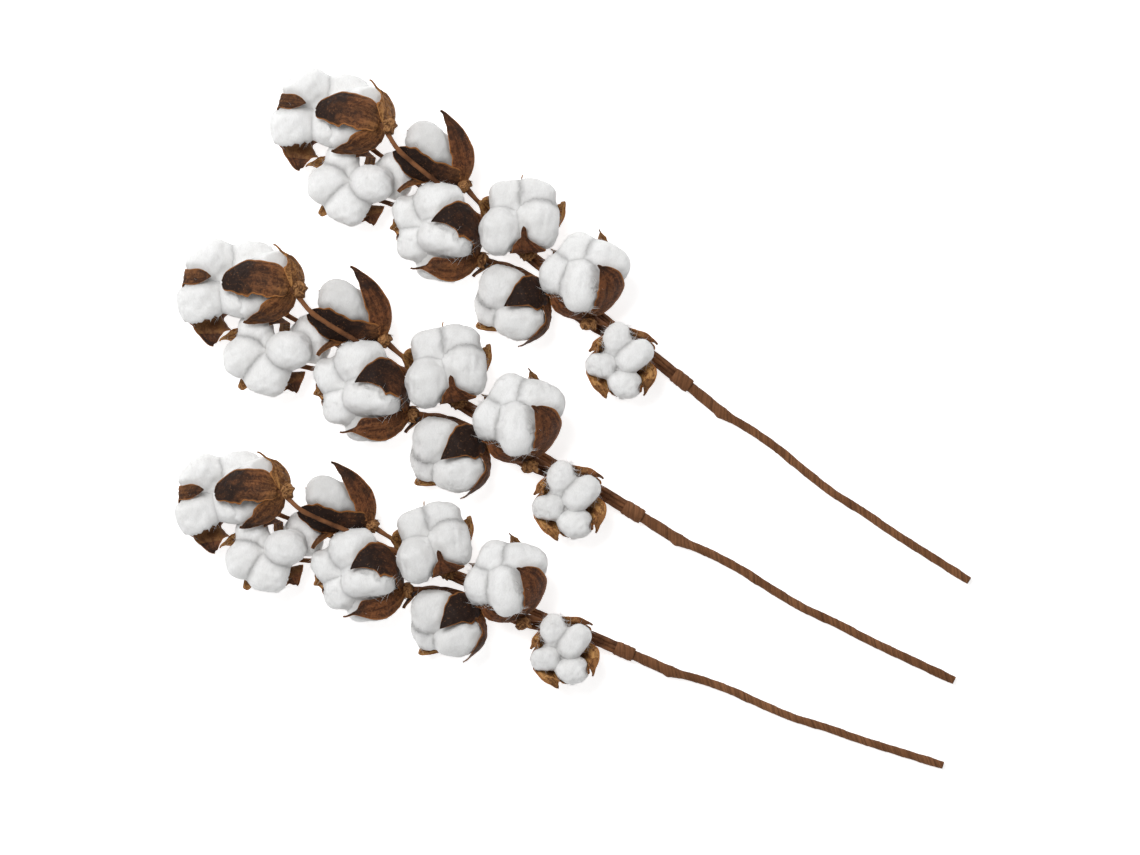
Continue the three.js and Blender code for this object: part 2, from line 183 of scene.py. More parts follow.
def net(rows, cols):
    """Triangles of a surface that is closed round its columns and runs to a pole at each end."""
    row, col = np.meshgrid(np.arange(rows - 1), np.arange(cols), indexing="ij")
    here, beside = row * cols + col, row * cols + (col + 1) % cols
    wall = np.stack([here, beside, beside + cols, here, beside + cols, here + cols], -1).reshape(-1, 3)
    col = np.arange(cols)
    start = np.stack([np.full(cols, rows * cols), (col + 1) % cols, col], -1)
    last = (rows - 1) * cols
    end = np.stack([np.full(cols, rows * cols + 1), last + col, last + (col + 1) % cols], -1)
    return np.concatenate([wall, start, end])


def net_uv(rows, cols, along):
    """For each corner of net's triangles: how far round it is, from 0 to 1, and how far along it is."""
    row, col = np.meshgrid(np.arange(rows - 1), np.arange(cols), indexing="ij")
    corner = [(0, 0), (0, 1), (1, 1), (0, 0), (1, 1), (1, 0)]
    wall = np.stack([np.stack([(col + c) / cols, along[row + r]], -1) for r, c in corner], 2)
    col = np.arange(cols)
    start = np.stack([np.stack([(col + c) / cols, np.full(cols, along[0])], -1) for c in (0.5, 1, 0)], 1)
    end = np.stack([np.stack([(col + c) / cols, np.full(cols, along[-1])], -1) for c in (0.5, 0, 1)], 1)
    return np.concatenate([part.reshape(-1, 2) for part in (wall, start, end)])


def surface(rings, look=None, along=None, finish=0):
    """One surface or several like ones, shaped (surfaces, rows, columns, 3), with a pole at each end.

    look: four values at each point for the material. along: how far along each row is. finish: the
    number of its material among the piece's finishes."""
    rings = rings[None] if rings.ndim == 3 else rings
    many, rows, cols, _ = rings.shape
    poles = np.stack([rings[:, 0].mean(1), rings[:, -1].mean(1)], 1)
    points = np.concatenate([rings.reshape(many, rows * cols, 3), poles], 1)
    look = np.broadcast_to(0.0 if look is None else look, (many, rows, cols, 4))
    ends = look[:, :1].mean(2), look[:, -1:].mean(2)
    looks = np.concatenate([look.reshape(many, rows * cols, 4), *ends], 1)
    faces = net(rows, cols)
    a, b, c = (points[0][faces[:, k]] - points[0].mean(0) for k in range(3))
    uv = net_uv(rows, cols, np.linspace(0, 1, rows) if along is None else along)
    if (a * np.cross(b, c)).sum() < 0:
        faces = faces[:, ::-1]
        uv = uv.reshape(-1, 3, 2)[:, ::-1].reshape(-1, 2)
    all_faces = faces[None] + (np.arange(many) * (rows * cols + 2))[:, None, None]
    return {"points": points.reshape(-1, 3), "looks": looks.reshape(-1, 4),
            "faces": all_faces.reshape(-1, 3), "uv": np.tile(uv, (many, 1)),
            "finish": np.full(many * len(faces), finish)}


def from_stem_top(distance):
    """The point so many millimetres up the stalks from the stem's top, or down the stem if negative."""
    return STEM_TOP + distance * HEADING


def place(points, spray):
    """From the far stem's own millimetres to metres in the frame, by way of this stem's collar."""
    turn, size = SPRAYS[spray]
    c, s = np.cos(np.radians(turn)), np.sin(np.radians(turn))
    corner_low, corner_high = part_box(spray + "_tape_collar")
    hold = np.array((corner_low + corner_high) / 2)
    offset = (points - from_stem_top(COLLAR_MIDDLE)) * size * MM
    return hold + offset @ np.array([[c, s, 0], [-s, c, 0], [0, 0, 1]])


def make(name, spray, surfaces, finishes):
    """One piece out of several surfaces, placed in its spray, kept above the table, with its finishes."""
    starts = np.cumsum([0] + [len(s["points"]) for s in surfaces])
    points = place(np.concatenate([s["points"] for s in surfaces]), spray)
    points[:, 2] = np.maximum(points[:, 2], TABLE_CLEARANCE)
    faces = np.concatenate([s["faces"] + start for s, start in zip(surfaces, starts)])
    mesh = bpy.data.meshes.new(name)
    mesh.vertices.add(len(points))
    mesh.vertices.foreach_set("co", points.astype(np.float32).ravel())
    mesh.loops.add(faces.size)
    mesh.loops.foreach_set("vertex_index", faces.astype(np.int32).ravel())
    mesh.polygons.add(len(faces))
    mesh.polygons.foreach_set("loop_start", np.arange(0, faces.size, 3, dtype=np.int32))
    mesh.polygons.foreach_set("use_smooth", np.ones(len(faces), bool))
    finish_of = np.concatenate([s["finish"] for s in surfaces])
    mesh.polygons.foreach_set("material_index", finish_of.astype(np.int32))
    mesh.update(calc_edges=True)
    uv = np.concatenate([s["uv"] for s in surfaces])
    mesh.uv_layers.new(name="wrap").data.foreach_set("uv", uv.astype(np.float32).ravel())
    looks = np.concatenate([s["looks"] for s in surfaces])
    look = mesh.attributes.new("look", "FLOAT_COLOR", "POINT")
    look.data.foreach_set("color", looks.astype(np.float32).ravel())
    for finish in finishes:
        mesh.materials.append(finish)
    piece = bpy.data.objects.new(name, mesh)
    bpy.context.scene.collection.objects.link(piece)
    return piece


class Finish:
    """A material whose nodes are written one to a line, such as tape.noise(place, 420)."""

    def __init__(self, name):
        self.material = bpy.data.materials.new(name)
        self.material.use_nodes = True
        self.tree = self.material.node_tree
        self.shader = self.tree.nodes["Principled BSDF"]

    def link(self, source, target):
        self.tree.links.new(source, target)

    def node(self, kind, inputs=None, **settings):
        """A node with its settings, and with each input joined to a socket or set to a value."""
        made = self.tree.nodes.new(kind)
        for key, value in settings.items():
            setattr(made, key, value)
        for key, value in (inputs or {}).items():
            if isinstance(value, bpy.types.NodeSocket):
                self.link(value, made.inputs[key])
            else:
                made.inputs[key].default_value = value
        return made

    def maths(self, operation, a, b=0.0, clamp=False):
        return self.node("ShaderNodeMath", {0: a, 1: b}, operation=operation, use_clamp=clamp).outputs[0]

    def span(self, value, start, end, to_start=0.0, to_end=1.0):
        """A value between start and end, carried over to another span and held at its ends."""
        inputs = {"Value": value, "From Min": start, "From Max": end, "To Min": to_start,
                  "To Max": to_end}
        return self.node("ShaderNodeMapRange", inputs, interpolation_type="SMOOTHSTEP").outputs["Result"]

    def blend(self, factor, a, b):
        """Colour a, with colour b laid over it by the factor."""
        return self.node("ShaderNodeMix", {0: factor, 6: a, 7: b}, data_type="RGBA").outputs[2]

    def noise(self, vector, scale, detail=3.0, roughness=0.55, distortion=0.0):
        inputs = {"Vector": vector, "Scale": scale, "Detail": detail, "Roughness": roughness,
                  "Distortion": distortion}
        return self.node("ShaderNodeTexNoise", inputs).outputs["Fac"]

    def bump(self, height, strength, distance):
        inputs = {"Height": height, "Strength": strength, "Distance": distance}
        return self.node("ShaderNodeBump", inputs).outputs["Normal"]


def tape_finish():
    """Brown crepe paper: crinkles that run across the tape on a slant, with a dark line at each edge."""
    tape = Finish("crepe_tape")
    here = tape.node("ShaderNodeTexCoord").outputs["Object"]
    wrap = tape.node("ShaderNodeUVMap", uv_map="wrap").outputs["UV"]
    parts = tape.node("ShaderNodeSeparateXYZ", {"Vector": wrap})
    turns = tape.maths("ADD", tape.maths("DIVIDE", parts.outputs["Y"], TAPE_TURN), parts.outputs["X"])
    edge = tape.maths("FRACT", turns)
    lanes = tape.node("ShaderNodeCombineXYZ", {
        "X": tape.maths("MULTIPLY", turns, 2 * TAPE_CRINKLES), "Y": tape.maths("MULTIPLY", turns, 0.4)})
    crinkle = tape.span(tape.noise(lanes.outputs[0], 1.0, 4, 0.6), 0.38, 0.62)
    mottle = tape.noise(here, 420, 5, 0.6)
    cloud = tape.noise(here, 60, 3, 0.5)
    colour = tape.blend(tape.span(cloud, 0.3, 0.7), (0.185, 0.080, 0.036, 1), (0.290, 0.132, 0.062, 1))
    colour = tape.blend(tape.maths("MULTIPLY", crinkle, 0.65), colour, (0.095, 0.040, 0.017, 1))
    colour = tape.blend(tape.span(mottle, 0.52, 0.75, 0, 0.4), colour, (0.26, 0.120, 0.050, 1))
    colour = tape.blend(tape.span(edge, 0.93, 1.0, 0, 0.55), colour, (0.045, 0.018, 0.010, 1))
    tape.link(colour, tape.shader.inputs["Base Color"])
    height = tape.maths("ADD", tape.maths("MULTIPLY", crinkle, 0.5), mottle)
    tape.link(tape.bump(height, 0.7, 0.4 * MM), tape.shader.inputs["Normal"])
    tape.shader.inputs["Roughness"].default_value = 0.82
    tape.shader.inputs["Specular IOR Level"].default_value = 0.12
    return tape.material


def taped_stem():
    """A bar that tapers below the collar, with a proud edge that climbs it and slow uneven swellings."""
    path, way = smooth_path([STEM_TOP, from_stem_top(-STEM_STRAIGHT), *STEM], STEM_ROWS)
    around = np.linspace(0, 1, STEM_COLS, endpoint=False)
    body = STEM_TOP_RADIUS + (STEM_RADIUS - STEM_TOP_RADIUS) * smoothstep(way, *STEM_TAPER)
    turns = way[:, None] / TAPE_TURN + around
    edge = TAPE_EDGE * (turns % 1.0) ** 2.5
    rings = round_bar(path, np.ones((len(path), len(around))))
    start, breadth, height = TAPE_KNOT
    knot = height * np.exp(-((way[:, None] - start) / breadth) ** 2)
    knot = knot * np.maximum(0, np.cos(2 * np.pi * around))
    uneven = 0.09 * ripple(rings, 16.0, 3) + 0.04 * ripple(rings, 4.0, 4)
    radius = body[:, None] + edge - 0.05 + uneven + knot
    radius *= 1 - 0.04 * smoothstep(way, way[-1] - 2, way[-1])[:, None]
    return surface(round_bar(path, radius), along=way)


tape_paper = tape_finish()
for spray in SPRAYS:
    stem = make(spray + "_taped_stem", spray, [taped_stem()], [tape_paper])
    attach(stem, "root")
    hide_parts(spray + "_stem")

# ---- the collars of tape --------------------------------------------------------------------
# Where the loose stalks go into the stem, the tape starts with a few tight turns over each other,
# and ends in a small step on the stem's side.

COLLAR_HALF_LENGTH = 6.5
COLLAR_RADIUS = 4.75
COLLAR_BORE = 4.3
COLLAR_TURN = 4.5  # how far its tape climbs in one turn
COLLAR_EDGE = 0.35  # how far an edge stands proud, and how far its ends draw in
COLLAR_END = 1.5  # over what length they do
COLLAR_ROWS, COLLAR_COLS = 40, 40


def tape_collar():
    """A sleeve: rows out along its outside, which steps up with each turn, and back along its bore."""
    way = np.linspace(-COLLAR_HALF_LENGTH, COLLAR_HALF_LENGTH, COLLAR_ROWS)
    around = np.linspace(0, 1, COLLAR_COLS, endpoint=False)
    outside = COLLAR_RADIUS - 0.25 + COLLAR_EDGE * ((way[:, None] / COLLAR_TURN + around) % 1.0)
    ends = smoothstep(np.abs(way), COLLAR_HALF_LENGTH - COLLAR_END, COLLAR_HALF_LENGTH)
    outside = outside - COLLAR_EDGE * ends[:, None]
    path = from_stem_top(COLLAR_MIDDLE - way[:, None])
    outer = round_bar(path, outside)
    inner = round_bar(path, np.full_like(outside, COLLAR_BORE))
    rings = np.concatenate([outer, inner[::-1], outer[:1]])
    return surface(rings, along=np.concatenate([way, way[::-1], way[:1]]))


for spray in SPRAYS:
    collar = make(spray + "_tape_wraps", spray, [tape_collar()], [tape_paper])
    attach(collar, "root")
    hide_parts(spray + "_tape_collar")

# ---- the burs and their stalks ----------------------------------------------------------------
# A bur is the dry woody husk of a boll. Its carpels grow from a ragged calyx and open like petals.
# The stalk under it runs down beside the others and into the collar.


def blade(tip, belly, half, widest=0.45, spike=0, end=0.6, point=1.8, face=0, dark=0.3, tan=0):
    """One carpel of the table below: its tip, its belly half way there and half of its greatest width.

    widest: where along it that is. spike: how much of its length is the narrow end, and end is half
    of that end's width. point: 1 if its sides run straight to its tip, more if they bulge. face: 0 if
    it faces away from the heart, 1 if it faces straight up. dark and tan: how far its brown goes to
    black and to tan."""
    return {"tip": tip, "belly": belly, "half": half, "widest": widest, "spike": spike, "end": end,
            "point": point, "face": face, "dark": dark, "tan": tan}


# heart: the middle of the boll, in millimetres from the far stem's cut end. calyx, locks and
# carpels are measured from it.
# lock: x, y, z, then half its length, breadth and height, and its turn in degrees.
# slot: the stalk's place round the bundle in degrees, or None in its middle.
# joins: how many points of the bundle the stalk follows. stalk: its way from there.
# knob: how far the calyx's knob sits off the carpels' root, if it does.
# grey: painted shade, how much darker all its cotton is than the others', for a boll lying in shade.
# melt: how softly its locks meet, if not as the others'. loose: the locks whose fibres have come loose.
BOLLS = [
    {"heart": (-414.5, 295.5, 22), "calyx": (13, -8, -18),
     "locks": [(-14, -9.5, 6, 13.5, 13, 13, 0), (-4.5, 15, 0, 15, 11.5, 13, 25),
               (22, 13, -2, 14, 11.5, 12, -8), (12, -9.5, 7, 12, 12, 11.5, 0)],
     "carpels": [blade((-3.5, 4.5, 15), (-20, 6, 3), 5, widest=0.85, end=2.5, tan=0.2),
                 blade((-8, -34.5, -1), (-6, -20, -3), 12, widest=0.5, end=2.5, point=1.5, face=0.6,
                       dark=0.35),
                 blade((12, 16, -10), (16, 8, -16), 9, spike=0.12, tan=0.2)],
     "slot": -45, "joins": 7, "stalk": [(-330, 237, 10), (-353.5, 254.5, 9), (-382, 276, 7)]},
    {"heart": (-387.5, 291, 38), "calyx": (17, -3, 14.5), "knob": (3.5, -1.5, -0.6),
     "locks": [(-10, 5, -5, 11, 11, 11, 0), (-6.5, -9, -6, 11, 11, 11, 0),
               (5.5, 9.5, -6, 12, 11, 11, 0), (4, -5, -12, 11, 11, 11, 0)],
     "carpels": [blade((-23.5, 5, 1), (-4, 6.5, 13), 11.5, widest=0.55, end=6, point=2.2, dark=0.6,
                       tan=0.1),
                 blade((8, 22.5, 4), (19.5, 10, 5), 9, spike=0.25, face=0.3, dark=0, tan=0.6),
                 blade((-14, -18, -2), (4, -16, 7), 9.5, end=0.8, point=1.4, face=0.4, tan=0.2),
                 blade((-17, -4, -18), (-4, -3, -20), 9, spike=0.12, tan=0.2)],
     "slot": 90, "joins": 7,
     "stalk": [(-322, 240, 26), (-339, 253.4, 39), (-353.5, 265, 45.5), (-361, 272, 49)]},
    {"heart": (-392, 249.5, 22), "calyx": (5.5, -4.5, -18),
     "locks": [(-4, 14, -2, 11, 11.5, 11, 0), (-13, 0.5, 2, 12.5, 12.5, 12, 0),
               (14.5, 1, 9, 13, 11.5, 11.5, 0), (-0.5, -12.5, 5.5, 13, 12.5, 12, -20),
               (29.5, 7, -4, 11, 15, 10.5, 0)],
     "carpels": [blade((4, 15.5, 11), (13, 19, -8), 5.5, widest=0.7, end=1.5, point=1.5, face=0.4,
                       dark=0.15, tan=0.1),
                 blade((13.5, -23, 0), (12.5, -12.5, -3), 9.5, widest=0.5, end=1.5, point=2, face=0.6,
                       dark=0.25),
                 blade((-17, -17, -1), (-9, -10.5, -10), 4, end=2, tan=0.3),
                 blade((-25, 11, 1), (-14, 13, -9), 5, end=1, tan=0.5)],
     "slot": -90, "joins": 7, "stalk": [(-335, 227, 12), (-363.6, 237.5, 11)], "melt": 5.0},
    {"heart": (-337, 272, 28), "calyx": (16.5, -21.5, -2),
     "locks": [(-5.5, 4, 4, 14, 12, 13, -48), (-2, 0, -12, 10, 10, 9, 0), (-7.5, -5, -8, 10, 10, 10, 0)],
     "carpels": [blade((2.5, 23.5, 4), (15.5, 1.5, 6), 9, spike=0.03, point=1.4, face=0.6, dark=0.4),
                 blade((-23.5, -0.5, 4), (-9, -12, 9), 10.5, widest=0.55, end=5, face=0.5, dark=0.9),
                 blade((-17.5, 12.5, -16), (-2.5, -6.5, -18), 11, spike=0.12, dark=0.7, tan=0.2)],
     "slot": 0, "joins": 5, "stalk": [(-288, 213.5, 13.5), (-304, 232, 19)], "painted_shade": 0.42},
    {"heart": (-334, 221.5, 29), "calyx": (24, -17.5, -11),
     "locks": [(-0.5, 17.5, 4, 15.5, 12.5, 13.5, -12), (-21.5, 11.5, -2, 9, 10, 9.5, 0),
               (-18.5, -9, -2, 9, 10.5, 9.5, 0), (4.5, -5, 8, 17, 11.5, 14, -10),
               (0, -23.5, -5, 14, 9, 10, -10)],
     "carpels": [blade((-5, 4, 20), (15.5, 6, 14), 11, widest=0.6, point=1.2, face=0.35, dark=0.7),
                 blade((-18, -23, 3), (4.5, -22, 7), 12.5, widest=0.55, spike=0.2, point=2.4, face=0.9,
                       dark=0.2, tan=0.05),
                 blade((-24, 21.5, 3), (-6, 27, -4), 8, widest=0.75, end=1.5, point=1.4, face=0.4,
                       dark=0.2, tan=0.3),
                 blade((-29, 0.5, 3), (-16, -1, -6), 6, widest=0.6, point=1.2, face=0.3, tan=0.4)],
     "slot": None, "joins": 1,
     "stalk": [(-231.9, 159.2, 7.5), (-249.5, 171.8, 6), (-264, 182.5, 5), (-274.7, 191.3, 6),
               (-284.8, 197, 9), (-296.8, 200.2, 13.5)], "loose": (3,)},
    {"heart": (-284, 230.5, 32), "calyx": (4.5, -22.5, -12),
     "locks": [(-8.5, 12.5, -3, 11.5, 9.5, 10.5, 0), (10.5, 12, -3, 13, 10.5, 11, -20),
               (-12.5, -11, 5, 12.5, 14.5, 13.5, 10), (11.5, -7, 5, 12.5, 15.5, 13, -10)],
     "carpels": [blade((1.5, 22.5, -3), (0.5, 12.5, -16), 8, widest=0.35, spike=0.45, end=0.5, tan=0.6),
                 blade((-23, 8.5, 5), (-13, -2, -15), 7, widest=0.75, point=1.4, face=0.9, dark=0,
                       tan=0.9),
                 blade((25, 7.5, 4), (19, -4, -15), 6, widest=0.75, end=1, point=1.4, face=0.9, dark=0,
                       tan=0.5),
                 blade((2, -6.5, 19), (3, -18, 9), 9.5, widest=0.4, spike=0.25, end=1.8, face=0.4,
                       dark=0.15)],
     "slot": 45, "joins": 4, "stalk": [(-267, 200, 15.5)], "painted_shade": 0.15},
    {"heart": (-288, 175.5, 19), "calyx": (21, 4, -7),
     "locks": [(-7, 10, 2, 15, 13.5, 13.5, 0), (-15.5, -3, -3, 9, 11, 10.5, 0),
               (5, -12, 4, 16, 11.5, 12.5, 0)],
     "carpels": [blade((-5.5, -2, 16), (13, 7.5, 12), 11.5, widest=0.55, point=1.15, face=0.4, dark=0.95),
                 blade((-23.5, 15, 3), (-6, 22.5, -5), 7, widest=0.7, end=1, point=1.4, face=0.5,
                       dark=0.4, tan=0.2),
                 blade((2, -21.5, 2), (17.5, -11.5, 3), 9, widest=0.6, end=2, point=2, face=0.5,
                       dark=0.25, tan=0.1),
                 blade((-22, -13.5, 0), (-8, -10, -15), 6, widest=0.6, tan=0.5)],
     "slot": 180, "joins": 1, "stalk": [(-232.5, 156.1, 8.5), (-252.7, 168.7, 9.5)], "painted_shade": 0.15},
    {"heart": (-244.5, 193, 34), "calyx": (5.5, -26.5, -12.5), "knob": (-2.5, -2.5, 6),
     "locks": [(-3, 15, -2, 12, 10.5, 12.5, 30), (14.5, 7, 2, 15, 13, 13, -35),
               (-16.5, 0.5, 0, 11, 12, 11, 0), (-1, -8, 7, 11.5, 16, 14, 0)],
     "carpels": [blade((9, 26, 1), (12.5, 13, -12), 6, widest=0.5, spike=0.1, end=0.5, tan=0.2),
                 blade((-18, 14.5, -1), (-12, 5.5, -13), 5, spike=0.12, tan=0.7),
                 blade((-18, -9, 0), (-12.5, -20, -2), 7.5, widest=0.55, spike=0.12, face=0.6, dark=0),
                 blade((8, 5, 19), (17.5, -9, 12), 10.5, widest=0.55, spike=0.06, end=1.5, face=0.5,
                       dark=0.2)],
     "slot": 135, "joins": 1, "stalk": [(-222.5, 155.1, 12.6), (-230, 161, 16.5)], "loose": (2, 3)},
    {"heart": (-223.5, 139, 23), "calyx": (4, -3, -19.5),
     "locks": [(1, 13.5, 1, 8.5, 10.5, 9, -15), (12, 3.5, 4, 12, 8.5, 10, 28),
               (-10.5, -2.5, 1, 9.5, 8, 9, -15), (5.5, -15.5, 2, 11, 8.5, 9.5, 0)],
     "carpels": [blade((-14, 5, 3), (-8.5, 8, 0), 7.5, point=1.2, face=0.7, dark=0, tan=0.6),
                 blade((23.5, 9.5, 2), (13.5, 12.5, 1), 7.5, point=1.2, face=0.8, dark=0.1, tan=0.2),
                 blade((15, -19, 3), (17, -8.5, 1), 9, widest=0.55, end=1, point=1.1, face=0.8, dark=0,
                       tan=0.5),
                 blade((-5.5, -21, 2), (-8, -11, 0), 8.5, widest=0.55, end=1, point=1.1, face=0.8,
                       dark=0, tan=0.7)],
     "slot": -135, "joins": 1, "stalk": [(-210, 141, 5)], "melt": 5.0, "loose": (0,)},
]

CORE_RADIUS = 9.0  # the least that the cotton reaches from the heart
BUNDLE_RING = 2.95  # how far from the bundle's middle the stalks lie round it
STALK_STARTS = (0.3, 12.0)  # its first two points, from the stem's top
STALK_RADIUS = 1.12
STALK_FREE_RADIUS = 1.5
STALK_NECK_RADIUS = 2.1
STALK_NECK_LENGTH = 14.0
CARPEL_THICK = 1.1
CARPEL_BEND = 44.0  # twice the radius that its breadth is bent to
CARPEL_GAP = 1.2
CARPEL_SOFTENING = 18  # how many times its distance from the heart is evened out
CARPEL_WAVES = ((0.07, 1.4, 2.6), (0.035, 4, 6))  # at its edges: their height, and how many there are
CARPEL_EDGE_LIFT, CARPEL_TIP_LIFT = 0.8, 1.8
CARPEL_WOODY = ((0.20, 5.0), (0.12, 2.2))  # bumps on it: their height and how far apart they are
CARPEL_VEIN = 0.12
CARPEL_ROWS, CARPEL_COLS = 34, 26
CALYX_RADIUS = 5.0
CALYX_HALF_HEIGHT = 3.6
CALYX_OUT = 1.8  # how far its middle lies below the carpels' roots
CALYX_ROWS, CALYX_COLS = 16, 30
BRACTS = 5
BRACT_LENGTHS, BRACT_HALVES = (2.5, 4.6), (1.6, 2.5)
BRACT_BENDS = (0.3, 1.0)
BRACT_THICK = 0.28
BRACT_ROWS, BRACT_COLS = 10, 10


def cotton_reach(boll, directions):
    """How far the cotton reaches from the heart: the outermost crossing of each direction with a lock."""
    reach = np.full(directions.shape[:-1], CORE_RADIUS)
    for x, y, z, length, breadth, height, turn in boll["locks"]:
        c, s = np.cos(np.radians(turn)), np.sin(np.radians(turn))
        axes = np.array([[c, s, 0], [-s, c, 0], [0, 0, 1]]) / np.array([length, breadth, height])[:, None]
        d, m = directions @ axes.T, axes @ np.array([x, y, z])
        a, b, k = (d * d).sum(-1), d @ m, m @ m - 1
        inside = b * b - a * k
        crossing = (b + np.sqrt(np.maximum(inside, 0))) / a
        reach = np.maximum(reach, np.where((inside > 0) & (b > 0), crossing, 0))
    return reach


def soften(values, times):
    """Each value mixed with its neighbours along the rows and columns."""
    for _ in range(times):
        padded = np.pad(values, 1, mode="edge")
        values = (padded[1:-1, 1:-1] * 2 + padded[:-2, 1:-1] + padded[2:, 1:-1]
                  + padded[1:-1, :-2] + padded[1:-1, 2:]) / 6
    return values


def carpel_half_width(along, leaf):
    """A quarter of a full oval up to the widest place, a curved taper after it, then the narrow spike."""
    body = 1 - leaf["spike"]
    widest = leaf["widest"] * body
    rise = np.clip(along / widest, 0, 1)
    fall = np.clip((along - widest) / (body - widest), 0, 1)
    full = np.sqrt(1 - (1 - rise) ** 2.2) * (1 - fall ** leaf["point"]) ** 0.9
    return (leaf["end"] + (leaf["half"] - leaf["end"]) * full) * np.sqrt(1 - 0.97 * along**16)


def carpel(boll, number, index):
    """A lens-shaped section carried along an arc from the calyx over the belly to the tip.

    The blade is fullest where the table says, bends a little round the heart and lies clear of the
    cotton. Its edges wave and lift, and its tip turns outwards."""
    leaf = boll["carpels"][index]
    seed = 100 * number + 10 * index
    rng = np.random.default_rng(seed)
    root, middle, end = (np.array(p, float) for p in (boll["calyx"], leaf["belly"], leaf["tip"]))
    pull = 2 * middle - 0.5 * root - 0.5 * end
    along = np.linspace(0.0, 1.0, CARPEL_ROWS)
    t = along[:, None]
    spine = (1 - t) ** 2 * root + 2 * t * (1 - t) * pull + t**2 * end
    facing = unit(unit(spine) * (1 - leaf["face"]) + np.array([0, 0, leaf["face"]]))
    side = unit(np.cross(unit(np.gradient(spine, axis=0)), facing))
    facing = unit(np.cross(side, np.gradient(spine, axis=0)))
    facing = facing * np.sign((facing * spine).sum(-1, keepdims=True))
    angle = np.linspace(0, 2 * np.pi, CARPEL_COLS, endpoint=False)
    across, outside = np.cos(angle), np.sin(angle)

    width = carpel_half_width(along, leaf)
    wave, wave_other = (
        1 + sum(high * np.sin(2 * np.pi * (along * rng.uniform(fewest, most) + rng.uniform()))
                for high, fewest, most in CARPEL_WAVES) for _ in range(2))
    edge = width[:, None] * np.where(across > 0, wave[:, None], wave_other[:, None]) * across
    bent = (spine[:, None] + side[:, None] * edge[..., None]
            - facing[:, None] * (edge**2 / CARPEL_BEND)[..., None])
    direction = unit(bent)
    clear = cotton_reach(boll, direction) + CARPEL_GAP
    clear = np.where(along[:, None] > 0.03, clear, 0)
    base = np.linalg.norm(bent, axis=-1)
    base = soften(np.maximum(base, clear), CARPEL_SOFTENING)
    lift = (CARPEL_EDGE_LIFT * across**4 * smoothstep(along, 0.2, 0.5)[:, None]
            + CARPEL_TIP_LIFT * smoothstep(along, 0.84, 1.0)[:, None])
    points = direction * (base + lift)[..., None]

    thick = CARPEL_THICK * (0.45 + 0.55 * (1 - across**2))
    thick = thick * (1 - 0.5 * smoothstep(along, 0.7, 1.0))[:, None]
    woody = sum(high * ripple(points, wavelength, seed + 1 + k)
                for k, (high, wavelength) in enumerate(CARPEL_WOODY))
    veins = CARPEL_VEIN * np.cos(3 * np.pi * across) * np.sin(np.pi * along)[:, None]
    height = (thick * np.sign(outside) * np.abs(outside) ** 0.8 / 2
              + (woody + veins) * (0.35 + 0.65 * (outside > 0)))
    points = points + facing[:, None] * (CARPEL_THICK / 2 + height)[..., None]
    look = np.stack(np.broadcast_arrays(
        np.abs(across) + 0 * t, (1 - outside) / 2, leaf["dark"], leaf["tan"]), -1)
    return points + np.array(boll["heart"], float), look


def stalk_path(boll):
    """Inside the collar, along the bundle in its slot, then over its own points to the calyx."""
    across = -unit(np.array([-HEADING[1], HEADING[0], 0]))
    turn = np.radians(boll["slot"] or 0)
    ring = 0 if boll["slot"] is None else BUNDLE_RING
    shift = across * ring * np.cos(turn) + np.array([0, 0, ring * np.sin(turn)])
    start = [from_stem_top(distance) + shift for distance in STALK_STARTS]
    calyx = np.array(boll["heart"], float) + np.array(boll["calyx"], float)
    return np.array([*start, *(BUNDLE[:boll["joins"]] + shift), *np.array(boll["stalk"], float), calyx])


def stalk(boll, number):
    """A thin bar, thicker where it leaves the bundle and under the calyx, with small knots."""
    rough = stalk_path(boll)
    length = np.linalg.norm(np.diff(rough, axis=0), axis=1).sum()
    path, way = smooth_path(rough, int(length / 1.6))
    shared = np.linalg.norm(np.diff(rough[:2 + boll["joins"]], axis=0), axis=1).sum()
    radius = STALK_RADIUS + (STALK_FREE_RADIUS - STALK_RADIUS) * smoothstep(way, shared - 10, shared + 15)
    neck = smoothstep(way, way[-1] - STALK_NECK_LENGTH, way[-1])
    radius = radius + (STALK_NECK_RADIUS - radius) * neck
    rings = round_bar(path, np.ones((len(path), 10)))
    uneven = 0.08 * ripple(rings, 7.0, 40 + number) + 0.05 * ripple(rings, 2.6, 60 + number)
    return surface(round_bar(path, radius[:, None] + uneven), along=way, finish=1)


def calyx_place(boll):
    """Where the knob and its bracts sit: at the carpels' root, or off it where the table says."""
    root = np.array(boll["heart"], float) + np.array(boll["calyx"], float)
    return root + np.array(boll.get("knob", (0, 0, 0)), float)


def calyx_knob(boll, number):
    """A flattened ball, pleated round its axis, with the neck of the stalk under it."""
    down = unit(np.array(boll["calyx"], float))
    side = unit(np.cross(down, [0.3, 0.5, 0.8]))
    other = np.cross(down, side)
    lean = np.linspace(0.12, np.pi - 0.12, CALYX_ROWS)[:, None]
    turn = np.linspace(0, 2 * np.pi, CALYX_COLS, endpoint=False)
    pleat = 1 + 0.10 * np.sin(5 * turn + number) * np.sin(lean) + 0.06 * np.sin(11 * turn + 2 * lean)
    wide = CALYX_RADIUS * np.sin(lean) * pleat
    high = CALYX_HALF_HEIGHT * np.cos(lean) + 0 * turn
    points = (side * (wide * np.cos(turn))[..., None] + other * (wide * np.sin(turn))[..., None]
              - down * high[..., None])
    points += down * (CALYX_OUT + 0.6 * ripple(points, 3.5, 80 + number))[..., None]
    points += calyx_place(boll)
    return surface(points, finish=2)


